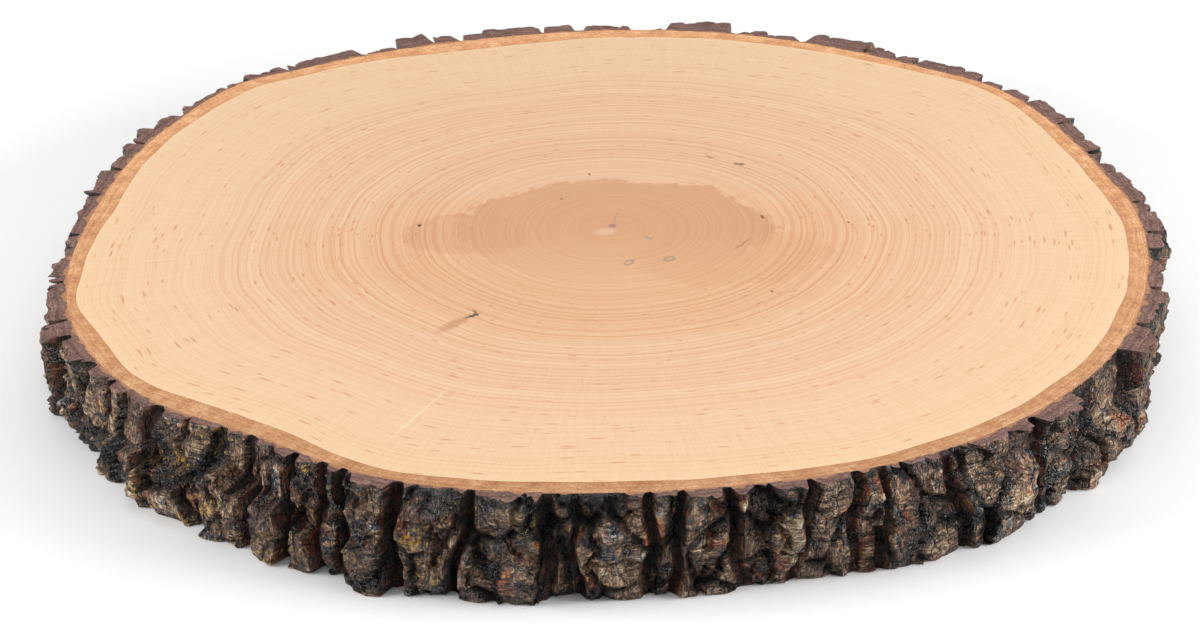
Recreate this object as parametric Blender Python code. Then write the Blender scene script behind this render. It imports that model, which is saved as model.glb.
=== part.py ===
"""Wood slice: one cross cut of a trunk, flat on both faces, with its bark left on.

Metres, +Z up. The slice lies on its lower face, with the origin under the middle of its box.
"""

import bisect
import math

import bmesh
import bpy
from mathutils import Vector

THICKNESS = 0.034  # between the two sawn faces
COLUMNS = 440  # points round the rim, about 3 mm apart
BANDS = 7  # rows of faces between the two sawn faces
SHOULDER = 0.0035  # width over which a plate of bark rises out of its fissure
STEP_HEIGHT = 0.006  # height over which a strip of bark changes thickness at its break
WANDER = 0.0016  # how far a fissure strays to either side of its straight line
FISSURE_FLOOR = 0.0006  # bark left over the inner bark at the bottom of a fissure

# The rim of the inner bark: its radius in millimetres at a few angles in degrees, read
# anticlockwise from +X. A smooth closed curve through them is the trunk's own outline.
TRUNK_RIM = (
    (0, 190.5),
    (10, 188.5),
    (20, 190.5),
    (37, 197),
    (48, 192.5),
    (75, 191),
    (100, 188),
    (110, 188.5),
    (130, 194.5),
    (138, 199.5),
    (152, 193),
    (170, 188),
    (180, 187.5),
    (190, 191.5),
    (207, 196),
    (222, 194),
    (235, 188),
    (250, 192),
    (265, 190.5),
    (280, 190.5),
    (300, 195.5),
    (320, 196),
    (340, 192.5),
)

# The outer bark is split by upright fissures into strips, anticlockwise from +X. Each row is
# the fissure a strip starts from and the strip itself: the fissure's angle in degrees at the
# upper and at the lower face, its width in millimetres, the bark's thickness in millimetres
# at the upper and at the lower face, and the height in millimetres where it breaks across.
BARK_STRIPS = (
    (1.7, 2.5, 2.5, 7, 8, 15),
    (10, 9, 1.5, 5.5, 7, 22),
    (15.5, 16, 4.5, 8, 9, 19),
    (24.2, 23, 1.5, 9.5, 8, 12),
    (31.5, 32.5, 2.5, 4.5, 6, 25),
    (39.3, 38, 4.5, 9, 10, 18),
    (48.5, 49.5, 1.5, 9, 7, 10),
    (55.5, 54, 3, 12, 10, 21),
    (63.8, 64.5, 3, 4.5, 7, 15),
    (73, 72, 7, 12, 9, 14),
    (82, 83.5, 2.5, 3, 4, 24),
    (86, 87.5, 2.5, 6.5, 8, 17),
    (93, 94, 6, 8, 9, 11),
    (97.8, 99.5, 1.5, 10, 9, 20),
    (108.5, 107, 3, 8, 10, 9),
    (112, 112.8, 1.5, 13, 10, 16),
    (116.6, 117, 3.5, 4, 7, 24),
    (121.4, 122, 2.5, 8.5, 9, 13),
    (131.3, 130, 2, 8, 9, 22),
    (137, 138, 2.5, 3, 5, 18),
    (140, 141, 1.5, 4, 6, 12),
    (149, 148, 4, 4, 7, 21),
    (158, 157, 2, 6, 8, 18),
    (165.5, 166, 3, 6, 5, 11),
    (172.5, 174, 3, 4, 7, 20),
    (183, 181.5, 2.5, 4, 5, 13),
    (194.3, 193, 2.5, 7, 5, 17),
    (203, 202, 2, 12, 9, 23),
    (206.5, 204.5, 3.5, 4.5, 6, 14),
    (213, 208.5, 6, 4.5, 7, 12),
    (217.3, 214.5, 2.5, 5, 8, 15),
    (224.2, 220.5, 4.5, 3.5, 10.5, 14),
    (231.9, 230.3, 4.5, 3, 13, 22),
    (235.6, 236.2, 3.5, 5, 13, 18),
    (240.6, 240.2, 3.5, 6, 13, 14),
    (243.8, 244, 3.5, 7, 10, 20),
    (245.9, 246.2, 3, 8, 13, 17),
    (251.3, 251.3, 5, 7, 9, 25),
    (257.9, 256.3, 3.5, 8, 10, 15),
    (264.6, 264.4, 5, 4, 4.5, 17),
    (267, 267.5, 2, 4.5, 6.5, 27),
    (273.4, 273.3, 3.5, 5, 3, 12),
    (276.3, 275.4, 3, 6.5, 5.5, 20),
    (280.3, 281.7, 4, 7, 5, 12),
    (287.6, 286, 3, 6, 4, 22),
    (291.8, 291.6, 4, 5, 5, 18),
    (294.3, 294.2, 2.5, 5, 7, 16),
    (300.3, 302.5, 4, 5, 9, 24),
    (310.6, 311, 4.5, 9, 6, 27),
    (317, 316.6, 2, 2.5, 8, 14),
    (320.2, 320.2, 3, 2, 9, 16),
    (326.8, 328.5, 4.5, 9, 8, 18),
    (332.8, 334.5, 2.5, 7, 5, 24),
    (341, 343, 2.5, 4, 7, 10),
    (350, 351, 2.5, 6.5, 5, 20),
    (354.2, 356, 2.5, 9, 7, 14),
)

MM = 0.001


def smooth_step(share):
    """Ease from 0 to 1 as share does, and stay there on either side."""
    share = min(max(share, 0.0), 1.0)
    return share * share * (3 - 2 * share)


def trunk_radius(angle):
    """Radius of the inner bark's rim at an angle in degrees, on a curve through TRUNK_RIM."""
    angles = [rim_angle for rim_angle, radius in TRUNK_RIM]
    count = len(angles)
    start = bisect.bisect_right(angles, angle % 360) - 1
    near = []
    for offset in range(-1, 3):
        turn, index = divmod(start + offset, count)
        near.append((TRUNK_RIM[index][0] + 360 * turn, TRUNK_RIM[index][1] * MM))
    (a0, r0), (a1, r1), (a2, r2), (a3, r3) = near
    share = (angle % 360 - a1) / (a2 - a1)
    slope_1 = (r2 - r0) / (a2 - a0) * (a2 - a1)
    slope_2 = (r3 - r1) / (a3 - a1) * (a2 - a1)
    bend = 2 * r1 - 2 * r2 + slope_1 + slope_2
    drift = -3 * r1 + 3 * r2 - 2 * slope_1 - slope_2
    return ((bend * share + drift) * share + slope_1) * share + r1


def fissure_angle(index, height):
    """Angle in degrees of the fissure that starts a strip, counted on past a full turn."""
    turn, index = divmod(index, len(BARK_STRIPS))
    upper, lower = BARK_STRIPS[index][:2]
    share = height / THICKNESS
    stray = WANDER * math.sin(math.tau * share + 2.4 * index) * math.sin(math.pi * share)
    return lower + (upper - lower) * share + math.degrees(stray / trunk_radius(upper)) + 360 * turn


def bark_thickness(angle, height):
    """Thickness of the outer bark over the inner bark at an angle in degrees and a height."""
    count = len(BARK_STRIPS)
    strip = -1
    while strip + 1 < count and fissure_angle(strip + 1, height) <= angle:
        strip += 1
    upper, lower, width, thick_upper, thick_lower, break_height = BARK_STRIPS[strip]
    next_width = BARK_STRIPS[(strip + 1) % count][2]
    radius = trunk_radius(angle)
    left = math.radians(angle - fissure_angle(strip, height)) * radius
    right = math.radians(fissure_angle(strip + 1, height) - angle) * radius
    rise = smooth_step((left - width * MM / 2) / SHOULDER + 0.5)
    rise *= smooth_step((right - next_width * MM / 2) / SHOULDER + 0.5)
    share = smooth_step((height - break_height * MM) / STEP_HEIGHT + 0.5)
    plate = (thick_lower + (thick_upper - thick_lower) * share) * MM
    return FISSURE_FLOOR + (plate - FISSURE_FLOOR) * rise


def bark_material():
    """Grey-brown bark, the colour of most of the slice's wall."""
    material = bpy.data.materials.new("wood_and_bark")
    material.use_nodes = True
    principled = material.node_tree.nodes["Principled BSDF"]
    principled.inputs["Base Color"].default_value = (0.52, 0.33, 0.19, 1)
    principled.inputs["Roughness"].default_value = 0.75
    principled.inputs["Metallic"].default_value = 0.0
    return material


def build_slice():
    """A cylinder whose wall is cut into bands and drawn out to the bark's own outline."""
    shape = bmesh.new()
    bmesh.ops.create_cone(
        shape, cap_ends=True, segments=COLUMNS, radius1=1, radius2=1, depth=THICKNESS
    )
    upright = []
    for edge in shape.edges:
        if abs(edge.verts[0].co.z - edge.verts[1].co.z) > THICKNESS / 2:
            upright.append(edge)
    bmesh.ops.subdivide_edges(shape, edges=upright, cuts=BANDS - 1, use_grid_fill=True)
    for point in shape.verts:
        height = point.co.z + THICKNESS / 2
        turn = math.atan2(point.co.y, point.co.x)
        angle = math.degrees(turn) % 360
        radius = trunk_radius(angle) + bark_thickness(angle, height)
        point.co = Vector((radius * math.cos(turn), radius * math.sin(turn), height))
    low = [min(point.co[axis] for point in shape.verts) for axis in (0, 1)]
    high = [max(point.co[axis] for point in shape.verts) for axis in (0, 1)]
    middle = Vector(((low[0] + high[0]) / 2, (low[1] + high[1]) / 2, 0))
    bmesh.ops.translate(shape, verts=shape.verts, vec=-middle)
    mesh = bpy.data.meshes.new("wood_slice")
    shape.to_mesh(mesh)
    shape.free()
    mesh.materials.append(bark_material())
    return bpy.data.objects.new("wood_slice", mesh)


for old in list(bpy.data.objects):
    bpy.data.objects.remove(old)

parts = bpy.data.collections.new("wood_slice_parts")
bpy.context.scene.collection.children.link(parts)
parts.objects.link(build_slice())
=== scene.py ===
import math

import bpy
import numpy as np
from mathutils import Matrix, Vector


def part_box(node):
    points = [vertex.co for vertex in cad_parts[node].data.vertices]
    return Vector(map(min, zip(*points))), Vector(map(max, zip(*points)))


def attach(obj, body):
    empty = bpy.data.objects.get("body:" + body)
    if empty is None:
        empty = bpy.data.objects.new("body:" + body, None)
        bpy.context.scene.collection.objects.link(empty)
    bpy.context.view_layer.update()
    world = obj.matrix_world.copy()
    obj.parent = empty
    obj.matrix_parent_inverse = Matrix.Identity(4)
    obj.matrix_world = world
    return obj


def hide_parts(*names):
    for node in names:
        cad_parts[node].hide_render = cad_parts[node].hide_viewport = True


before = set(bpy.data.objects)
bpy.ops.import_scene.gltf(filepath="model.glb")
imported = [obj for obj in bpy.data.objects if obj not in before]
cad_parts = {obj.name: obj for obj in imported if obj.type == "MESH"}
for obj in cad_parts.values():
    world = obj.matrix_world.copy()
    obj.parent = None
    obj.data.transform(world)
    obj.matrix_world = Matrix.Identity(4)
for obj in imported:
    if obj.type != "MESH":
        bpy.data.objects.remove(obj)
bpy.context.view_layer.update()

slice_low, slice_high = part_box("wood_slice")

# ---- The studio -------------------------------------------------------------------------------
# The slice lies on a plain white sheet under three soft boxes: one each side, a little to the
# front, and one overhead. The camera looks down on it from the front with a short portrait lens.

MM = 0.001
STAND_BACK = 0.864  # camera to the middle of the upper face
CAMERA_RISE = math.radians(24.95)  # how far the camera stands above that face
CAMERA_TILT = math.radians(0.83)
AIM = Vector((-0.0016, -0.0785, 0))  # the point it looks at, from that middle
LENS = 71.9  # millimetres, on a sensor 36 mm wide
RING_MIDDLE = Vector((-0.0025, -0.0004, slice_high.z))  # the trunk's own middle on the upper face
ROOM_LIGHT = 0.42  # strength of the light that the white walls throw back
FLOOR_HALF = 6.0
FLOOR_DROP = 0.3 * MM  # keeps the sheet clear of the slice's lower face


def linear(code):
    """A hex sRGB colour as linear red, green and blue with alpha."""
    parts = [int(code[i : i + 2], 16) / 255 for i in (1, 3, 5)]
    return tuple(c / 12.92 if c <= 0.04045 else ((c + 0.055) / 1.055) ** 2.4 for c in parts) + (1.0,)


def add_node(tree, kind, inputs=None, output=0, stops=(), **settings):
    """Add a node with its settings, link or set its inputs, and return one of its outputs."""
    made = tree.nodes.new(kind)
    for name, value in settings.items():
        setattr(made, name, value)
    for number, (where, code) in enumerate(stops):
        stop = made.color_ramp.elements[number] if number < 2 else made.color_ramp.elements.new(where)
        stop.position = where
        stop.color = linear(code)
    for key, value in (inputs or {}).items():
        if isinstance(value, bpy.types.NodeSocket):
            tree.links.new(value, made.inputs[key])
        else:
            made.inputs[key].default_value = value
    return made.outputs[output] if made.outputs else made


def face_towards(thing, place, aim, tilt=0.0):
    """Stand a camera or a light at a place, looking at an aim, turned about its own view."""
    thing.location = place
    turn = (Vector(aim) - Vector(place)).to_track_quat("-Z", "Y").to_matrix()
    thing.rotation_euler = (turn @ Matrix.Rotation(tilt, 3, "Z")).to_euler()


camera = bpy.data.objects.new("camera", bpy.data.cameras.new("camera"))
camera.data.lens = LENS
camera.data.sensor_width = 36
camera_place = RING_MIDDLE + STAND_BACK * Vector((0, -math.cos(CAMERA_RISE), math.sin(CAMERA_RISE)))
face_towards(camera, camera_place, RING_MIDDLE + AIM, -CAMERA_TILT)
bpy.context.scene.collection.objects.link(camera)
bpy.context.scene.camera = camera

SOFT_BOXES = (
    # name, place and size in metres, power in watts
    ("left_box", (-1.3, -0.29, 0.3), 0.7, 24),
    ("right_box", (1.25, -0.29, 0.3), 0.7, 26),
    ("overhead_box", (0.1, 0.3, 1.5), 1.4, 3.85),
)
for name, place, size, power in SOFT_BOXES:
    box = bpy.data.objects.new(name, bpy.data.lights.new(name, "AREA"))
    box.data.size = size
    box.data.energy = power
    face_towards(box, place, (0, 0, 0))
    bpy.context.scene.collection.objects.link(box)

world = bpy.data.worlds.new("white_room")
world.use_nodes = True
white_walls = world.node_tree.nodes["Background"]
white_walls.inputs["Color"].default_value = (1.0, 1.0, 1.0, 1.0)
white_walls.inputs["Strength"].default_value = ROOM_LIGHT
bpy.context.scene.world = world
bpy.context.scene.view_settings.view_transform = "Standard"

floor_corners = [
    (x * FLOOR_HALF, y * FLOOR_HALF, slice_low.z - FLOOR_DROP)
    for x, y in ((-1, -1), (1, -1), (1, 1), (-1, 1))
]
floor_mesh = bpy.data.meshes.new("white_sheet")
floor_mesh.from_pydata(floor_corners, [], [(0, 1, 2, 3)])
# Matt white card, which bounces light back up and shows no texture.
white_card = bpy.data.materials.new("white_card")
white_card.use_nodes = True
card_shader = white_card.node_tree.nodes["Principled BSDF"]
card_shader.inputs["Base Color"].default_value = linear("#ffffff")
card_shader.inputs["Roughness"].default_value = 0.9
floor_mesh.materials.append(white_card)
floor_sheet = bpy.data.objects.new("white_sheet", floor_mesh)
bpy.context.scene.collection.objects.link(floor_sheet)

# ---- The slice's shape ------------------------------------------------------------------------
# A slice sawn across a broadleaved trunk and left with its bark on. The bark's outline at each
# height comes from upright fissures, with a strip of plates of its own thickness between each
# two. The strips break across, tilt and split, as the dead outer bark does when the trunk grows.

THICKNESS = slice_high.z - slice_low.z
COLUMNS = 1536  # points round the rim, under 1 mm apart
LEVELS = 54  # rows of faces up the wall
FISSURE_FLOOR = 0.6 * MM  # bark left in the deepest fissure, over the inner bark
FLOOR_SHARE = 0.42  # and the share of a plate's thickness left there too, at the lower face
FLOOR_FALL = 0.34  # how much smaller that share is at the upper face
FISSURE_FLAT = 0.26  # share of its width that a fissure is flat for, either side of its middle
WALL_SLOPE = 0.2  # share of its width that each of its walls slopes over
SHOULDER = 0.8 * MM  # and the least width of a wall
WANDER = 1.6 * MM  # how far a fissure strays to either side of its straight line
STEP_HEIGHT = 3.0 * MM  # height over which a strip changes thickness where it breaks
GROOVE_WIDTH = 0.9 * MM  # from the middle to the edge of the groove along that break
SPLIT_WIDTH = 0.8 * MM  # and of the split up a block
WIDE_STRIP = 17 * MM  # only a strip wider than this has split
LEAST_PLATE = 1.5 * MM
LEAST_BARK = 0.3 * MM
RIM_REACH = 0.196  # radius of a plain cylinder through the bark, on which the relief is drawn
PITH = Vector((2.8 * MM, -10.2 * MM, 0))  # from the trunk's middle

# Rim of the inner bark: radius in millimetres at angles in degrees, anticlockwise from +X.
TRUNK_RIM = (
    (0, 190.5), (10, 188.5), (20, 190.5), (37, 197), (48, 192.5), (75, 191), (100, 188), (110, 188.5),
    (130, 194.5), (138, 199.5), (152, 193), (170, 187), (180, 186.5), (190, 189.5), (207, 194.5),
    (222, 194), (235, 188), (250, 192), (265, 190.5), (280, 190.5), (300, 195.5), (320, 196), (340, 192.5),
)

# Width of the inner bark in millimetres, at angles in degrees.
INNER_BARK = (
    (0, 7), (25, 6), (37, 4.5), (60, 7), (90, 8.5), (108, 11), (125, 7), (138, 8), (160, 6), (172, 7),
    (190, 5), (200, 3.5), (208, 6.5), (220, 5.5), (226, 8), (240, 6), (250, 4.5), (265, 6), (290, 5),
    (310, 6), (350, 6.5),
)

# Each strip of bark: the angle in degrees of the fissure it starts from at the upper and at the
# lower face, the fissure's width, the bark's thickness at the upper and at the lower face, and
# the height where the strip breaks across, all in millimetres.
BARK_STRIPS = np.array((
    (1.7, 2.5, 2.5, 7, 8, 15), (10, 9, 1.5, 5.5, 7, 22), (15.5, 16, 4.5, 8, 9, 19),
    (24.2, 23, 1.5, 9.5, 8, 12), (31.5, 32.5, 2.5, 4.5, 6, 25), (39.3, 38, 4.5, 9, 10, 18),
    (48.5, 49.5, 1.5, 9, 7, 10), (55.5, 54, 3, 12, 10, 21), (63.8, 64.5, 3, 4.5, 7, 15),
    (73, 72, 7, 12, 9, 14), (82, 83.5, 2.5, 3, 4, 24), (86, 87.5, 2.5, 6.5, 8, 17), (93, 94, 6, 8, 9, 11),
    (97.8, 99.5, 1.5, 10, 9, 20), (108.5, 107, 3, 8, 10, 9), (112, 112.8, 1.5, 13, 10, 16),
    (116.6, 117, 3.5, 4, 7, 24), (121.4, 122, 2.5, 8.5, 9, 13), (131.3, 130, 2, 8, 9, 22),
    (137, 138, 2.5, 3, 5, 18), (140, 141, 1.5, 4, 6, 12), (149, 148, 4, 7.5, 8, 21),
    (158, 157, 2, 8, 9, 18), (165.5, 166, 3, 9, 8, 11), (172.5, 174, 3, 5.5, 7, 20),
    (183, 181.5, 2.5, 5.5, 7, 13), (194.3, 193, 2.5, 6.5, 10.5, 17), (203, 202, 2, 11, 11, 23),
    (206.5, 204.5, 3.5, 5.5, 8, 14), (213, 208.5, 6, 4.5, 7, 12), (217.3, 214.5, 2.5, 5, 8, 15),
    (224.2, 220.5, 4.5, 3.5, 10.5, 14), (231.9, 230.3, 4.5, 3, 13, 22), (235.6, 236.2, 3.5, 5, 13, 18),
    (240.6, 240.2, 3.5, 6, 13, 14), (243.8, 244, 3.5, 7, 10, 20), (245.9, 246.2, 3, 8, 13, 17),
    (251.3, 251.3, 5, 7, 9, 25), (257.9, 256.3, 3.5, 8, 10, 15), (264.6, 264.4, 5, 4, 4.5, 17),
    (267, 267.5, 2, 4.5, 6.5, 27), (273.4, 273.3, 3.5, 5, 3, 12), (276.3, 275.4, 3, 6.5, 5.5, 20),
    (280.3, 281.7, 4, 7, 5, 12), (287.6, 286, 3, 6, 4, 22), (291.8, 291.6, 4, 5, 5, 18),
    (294.3, 294.2, 2.5, 5, 7, 16), (300.3, 302.5, 4, 5, 9, 24), (310.6, 311, 4.5, 9, 6, 27),
    (317, 316.6, 2, 2.5, 8, 14), (320.2, 320.2, 3, 2, 9, 16), (326.8, 328.5, 4.5, 9, 8, 18),
    (332.8, 334.5, 2.5, 7, 5, 24), (341, 343, 2.5, 4, 7, 10), (350, 351, 2.5, 6.5, 5, 20),
    (354.2, 356, 2.5, 9, 7, 14),
))


def ease(share):
    """Ease from 0 to 1 as share does, and stay there on either side."""
    share = np.clip(share, 0, 1)
    return share * share * (3 - 2 * share)


def closed_curve(knots, angles):
    """Metres on a smooth closed curve through knots in millimetres, at angles in degrees."""
    knots = np.array(knots, float)
    turns = np.concatenate((knots[-2:, 0] - 360, knots[:, 0], knots[:3, 0] + 360))
    sizes = np.concatenate((knots[-2:, 1], knots[:, 1], knots[:3, 1])) * MM
    angles = np.mod(angles, 360)
    i = np.searchsorted(turns, angles, side="right") - 1
    gap = turns[i + 1] - turns[i]
    share = (angles - turns[i]) / gap
    slope_1 = (sizes[i + 1] - sizes[i - 1]) / (turns[i + 1] - turns[i - 1]) * gap
    slope_2 = (sizes[i + 2] - sizes[i]) / (turns[i + 2] - turns[i]) * gap
    bend = 2 * sizes[i] - 2 * sizes[i + 1] + slope_1 + slope_2
    drift = -3 * sizes[i] + 3 * sizes[i + 1] - 2 * slope_1 - slope_2
    return ((bend * share + drift) * share + slope_1) * share + sizes[i]


def inner_bark_width(angles):
    """Metres of inner bark at angles in degrees. The cambium wavers a little on its curve."""
    waver = 0.25 * np.sin(np.radians(23 * angles)) + 0.15 * np.sin(np.radians(41 * angles + 50))
    return closed_curve(INNER_BARK, angles) + waver * MM


strip_count = len(BARK_STRIPS)
heights = np.linspace(0, THICKNESS, LEVELS + 1)
share_up = heights[:, None] / THICKNESS
order = np.arange(strip_count)[None, :]
stray = WANDER * np.sin(math.tau * share_up + 2.4 * order) * np.sin(math.pi * share_up)
fissures = BARK_STRIPS[:, 1] + (BARK_STRIPS[:, 0] - BARK_STRIPS[:, 1]) * share_up
fissures = fissures + np.degrees(stray / closed_curve(TRUNK_RIM, BARK_STRIPS[:, 0]))
fissures = np.concatenate((fissures, fissures[:, :1] + 360), axis=1)
gaps = np.append(BARK_STRIPS[:, 2], BARK_STRIPS[0, 2]) * MM


def plate_rise(share, strip, width):
    """How far a point has risen from its fissure, 0 to 1, at a share of the way across a strip."""
    rise = np.ones_like(share * width)
    for gap, distance in ((gaps[strip], share * width), (gaps[strip + 1], (1 - share) * width)):
        wall = np.clip((distance - FISSURE_FLAT * gap) / (SHOULDER + WALL_SLOPE * gap), 0, 1)
        rise = rise * (0.5 * wall + 0.5 * ease(wall))
    return rise


# The columns of points stand closer together on the walls of the fissures: they are spaced
# evenly along the bark's own outline at mid height.
PROBES = 200  # to a strip
probe = np.arange(0, strip_count, 1 / PROBES)
probe_strip = probe.astype(int)
strip_width = np.radians(np.diff(fissures[LEVELS // 2])) * RIM_REACH
probe_relief = plate_rise(probe % 1, probe_strip, strip_width[probe_strip])
probe_relief = probe_relief * BARK_STRIPS[probe_strip, 3:5].mean(axis=1) * MM
probe_step = np.hypot(strip_width[probe_strip] / PROBES, np.diff(probe_relief, append=probe_relief[0]))
probe_along = np.append(0, np.cumsum(probe_step))
column_along = np.arange(COLUMNS) * probe_along[-1] / COLUMNS
column = np.interp(column_along, probe_along, np.append(probe, strip_count))
strip = column.astype(int)
across = column % 1

angle = fissures[:, strip] * (1 - across) + fissures[:, strip + 1] * across
trunk = closed_curve(TRUNK_RIM, angle)
width = np.radians(fissures[:, strip + 1] - fissures[:, strip]) * RIM_REACH
rise = plate_rise(across[None, :], strip[None, :], width)

# Each strip is two blocks, one over the other. Each leans and nods its own way, and may be split.
chance = np.random.default_rng(11)
lean = chance.uniform(-1.3, 1.3, (2, strip_count)) * MM  # each block's tilt across its strip
nod = chance.uniform(-1.0, 1.0, (2, strip_count)) * MM  # and up it
break_slope = chance.uniform(-5, 5, strip_count) * MM
break_depth = chance.choice((0.3, 1.2, 2.6, 3.6), strip_count) * MM
split_place = chance.uniform(0.3, 0.7, strip_count)
split_depth = chance.uniform(1.2, 3.4, strip_count) * MM
split_upper = chance.random(strip_count) < 0.5
block_tone = chance.random((2, strip_count))

sideways = (across - 0.5) * 2
upward = share_up * 2 - 1
wave = np.sin(across * 9 + strip * 1.7) * 0.9 * MM + np.sin(across * 23 + strip * 2.9) * 0.4 * MM
break_height = BARK_STRIPS[strip, 5] * MM + break_slope[strip] * sideways + wave
above_break = heights[:, None] - break_height
above = ease(above_break / STEP_HEIGHT + 0.5)
thick = (BARK_STRIPS[strip, 4] * (1 - above) + BARK_STRIPS[strip, 3] * above) * MM
thick = thick + (lean[0, strip] * (1 - above) + lean[1, strip] * above) * sideways
thick = thick + (nod[0, strip] * (1 - above) + nod[1, strip] * above) * upward * (1 - upward**2)
thick = np.maximum(thick, LEAST_PLATE)
groove = np.exp(-((above_break / GROOVE_WIDTH) ** 2)) * break_depth[strip]
split_line = split_place[strip] + 0.09 * np.sin(heights[:, None] * 190 + strip)
split_line = split_line + 0.04 * np.sin(heights[:, None] * 520 + 2 * strip)
split = np.exp(-(((across - split_line) * width / SPLIT_WIDTH) ** 2)) * split_depth[strip]
split = split * (width > WIDE_STRIP) * np.where(split_upper[strip], above, 1 - above)
fissure_floor = FISSURE_FLOOR + thick * (FLOOR_SHARE - FLOOR_FALL * share_up)
over = fissure_floor + (thick - fissure_floor) * rise - (groove + split) * rise
over = np.maximum(over, LEAST_BARK)
tone = block_tone[0, strip] * (1 - above) + block_tone[1, strip] * above

# The trunk's middle stands where the middle of its outline's box comes under the CAD's.
outline_x = (trunk + over) * np.cos(np.radians(angle))
outline_y = (trunk + over) * np.sin(np.radians(angle))
trunk_shift = Vector((
    (slice_low.x + slice_high.x - outline_x.min() - outline_x.max()) / 2,
    (slice_low.y + slice_high.y - outline_y.min() - outline_y.max()) / 2,
    slice_low.z,
))

spot = []  # every point of the slice, with the trunk's middle at the origin
marks = {"growth": [], "from_cambium": [], "over_bark": [], "rise": [], "tone": [], "on_wall": []}
rim_place = []


def add_ring(turn, radius, height, centre=(0, 0), **values):
    """Add a ring of points at angles in degrees, and return its first point's number."""
    first = sum(len(ring) for ring in spot)
    ring = np.empty((len(turn), 3))
    ring[:, 0] = centre[0] + radius * np.cos(np.radians(turn))
    ring[:, 1] = centre[1] + radius * np.sin(np.radians(turn))
    ring[:, 2] = height
    spot.append(ring)
    plain = np.empty((len(turn), 3))
    plain[:, 0] = RIM_REACH * np.cos(np.radians(turn))
    plain[:, 1] = RIM_REACH * np.sin(np.radians(turn))
    plain[:, 2] = height
    rim_place.append(plain)
    for name, store in marks.items():
        store.append(np.broadcast_to(values.get(name, 0.0), (len(turn),)))
    return first


faces = []
tissue = []  # 0 bark outside, 1 bark sawn through, 2 inner bark, 3 wood


def join_rings(outer, inner, count, kind, upper):
    """Quads between two rings of as many points, facing out of a wall or up or down."""
    for k in range(count):
        n = (k + 1) % count
        quad = (outer + k, outer + n, inner + n, inner + k)
        faces.append(quad if upper else quad[::-1])
        tissue.append(kind)


def halve_ring(outer, inner, count, kind, upper):
    """Triangles between a ring and one inside it with half as many points."""
    for k in range(0, count, 2):
        a, b, c = outer + k, outer + k + 1, outer + (k + 2) % count
        near, far = inner + k // 2, inner + (k // 2 + 1) % (count // 2)
        for triangle in ((a, b, near), (b, far, near), (b, c, far)):
            faces.append(triangle if upper else triangle[::-1])
            tissue.append(kind)


wall_first = [
    add_ring(
        angle[j], trunk[j] + over[j], heights[j],
        over_bark=over[j], rise=rise[j], tone=tone[j], on_wall=1.0, growth=1.0,
        from_cambium=inner_bark_width(angle[j]),
    )
    for j in range(LEVELS + 1)
]
for j in range(LEVELS):
    join_rings(wall_first[j], wall_first[j + 1], COLUMNS, 0, True)

# Shares of the way from the pith to the cambium at which the face's points thin out by half.
THINNING = (0.985, 0.95, 0.86, 0.62, 0.36, 0.16)
for upper in (True, False):
    j = LEVELS if upper else 0
    turn, inner_width = angle[j], inner_bark_width(angle[j])
    rim = add_ring(turn, trunk[j], heights[j], growth=1.0, from_cambium=inner_width)
    join_rings(wall_first[j], rim, COLUMNS, 1, upper)
    cambium_radius = trunk[j] - inner_width
    cambium = add_ring(turn, cambium_radius, heights[j], growth=1.0)
    join_rings(rim, cambium, COLUMNS, 2, upper)
    edge = cambium_radius * np.array((np.cos(np.radians(turn)), np.sin(np.radians(turn))))
    edge = edge.T - np.array(PITH.xy)
    outer, count = cambium, COLUMNS
    for share in THINNING:
        edge, count = edge[::2], count // 2
        reach = np.hypot(edge[:, 0], edge[:, 1]) * share
        bearing = np.degrees(np.arctan2(edge[:, 1], edge[:, 0]))
        inner = add_ring(bearing, reach, heights[j], centre=PITH.xy, growth=share)
        halve_ring(outer, inner, count * 2, 3, upper)
        outer = inner
    heart = add_ring(np.zeros(1), 0.0, heights[j], centre=PITH.xy)
    for k in range(count):
        triangle = (outer + k, outer + (k + 1) % count, heart)
        faces.append(triangle if upper else triangle[::-1])
        tissue.append(3)

points = np.concatenate(spot)
rough_mesh = bpy.data.meshes.new("rough_slice")
rough_mesh.from_pydata(points.tolist(), [], faces)
for name, store in marks.items():
    layer = rough_mesh.attributes.new(name, "FLOAT", "POINT")
    layer.data.foreach_set("value", np.concatenate(store).astype(np.float32))
layer = rough_mesh.attributes.new("rim_place", "FLOAT_VECTOR", "POINT")
layer.data.foreach_set("vector", np.concatenate(rim_place).astype(np.float32).ravel())
layer = rough_mesh.attributes.new("tissue", "INT", "FACE")
layer.data.foreach_set("value", np.array(tissue, np.int32))

# ---- The slice's materials --------------------------------------------------------------------
# Four tissues meet on the sawn faces: pale sanded wood with a small brown heart, the inner bark,
# the corky outer bark sawn through, and round the wall the outer bark's own weathered skin.
# Every pattern is drawn in millimetres from the trunk's middle, a place that the mesh carries.


def new_material(name):
    """A Principled material: itself, its tree, its shader and the place on the trunk."""
    material = bpy.data.materials.new(name)
    material.use_nodes = True
    tree = material.node_tree
    place = add_node(tree, "ShaderNodeAttribute", output="Vector", attribute_name="trunk_place")
    return material, tree, tree.nodes["Principled BSDF"], place


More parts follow.
